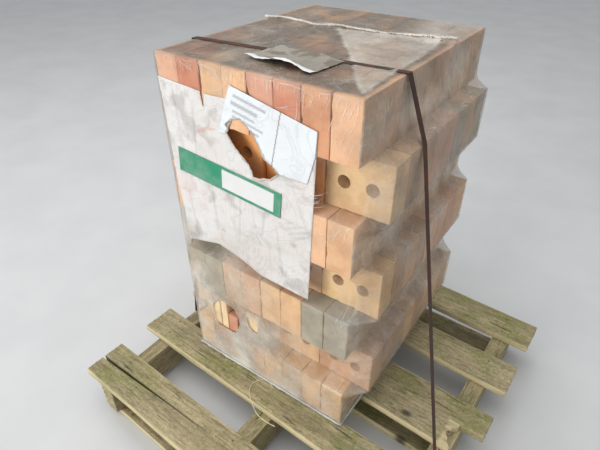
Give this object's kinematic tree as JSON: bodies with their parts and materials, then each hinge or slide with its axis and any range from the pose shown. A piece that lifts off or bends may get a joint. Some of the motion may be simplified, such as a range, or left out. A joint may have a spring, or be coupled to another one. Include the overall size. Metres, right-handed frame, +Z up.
{
  "type": "pallet of bricks",
  "caption": "Bored firebricks stacked on edge in crossed layers on a weathered wooden pallet, wrapped in shrink film with a steel strap, a printed sheet, a label and a lot sticker",
  "frame": {"origin": "middle of the ground under the whole load, at the bottom centre of its box", "axes": "+X to the right along the deck boards, +Y to the back along the stringers, +Z up; the front is the side that carries the papers"},
  "size_m": [1, 0.969, 1.0334],
  "materials": {
    "pallet_wood": "weathered grey-green sawn softwood",
    "firebrick": "fired, matt, tan to orange-red",
    "film": "milky dusty shrink film",
    "paper": "printed white paper, wrinkled",
    "green_sticker": "self-adhesive film, satin",
    "grey_sheet": "dusty curled sheet",
    "rusty_steel": "rust-brown rolled steel strip"
  },
  "bodies": {
    "root": {"bottom_board_front": "pallet_wood", "bottom_board_middle": "pallet_wood", "bottom_board_back": "pallet_wood", "stringer_left": "pallet_wood", "stringer_middle": "pallet_wood", "stringer_right": "pallet_wood", "deck_board_1": "pallet_wood", "deck_board_2": "pallet_wood", "deck_board_3": "pallet_wood", "deck_board_4": "pallet_wood", "deck_board_5": "pallet_wood", "brick_layer_1": "firebrick", "brick_layer_2": "firebrick", "brick_layer_3": "firebrick", "brick_layer_4": "firebrick", "brick_layer_5": "firebrick", "brick_layer_6": "firebrick", "brick_layer_7": "firebrick", "shrink_film": "film", "printed_sheet": "paper", "white_label": "paper", "lot_sticker": "green_sticker", "loose_sheet": "grey_sheet", "steel_strap": "rusty_steel", "strap_seal": "rusty_steel"}
  },
  "joints": []
}
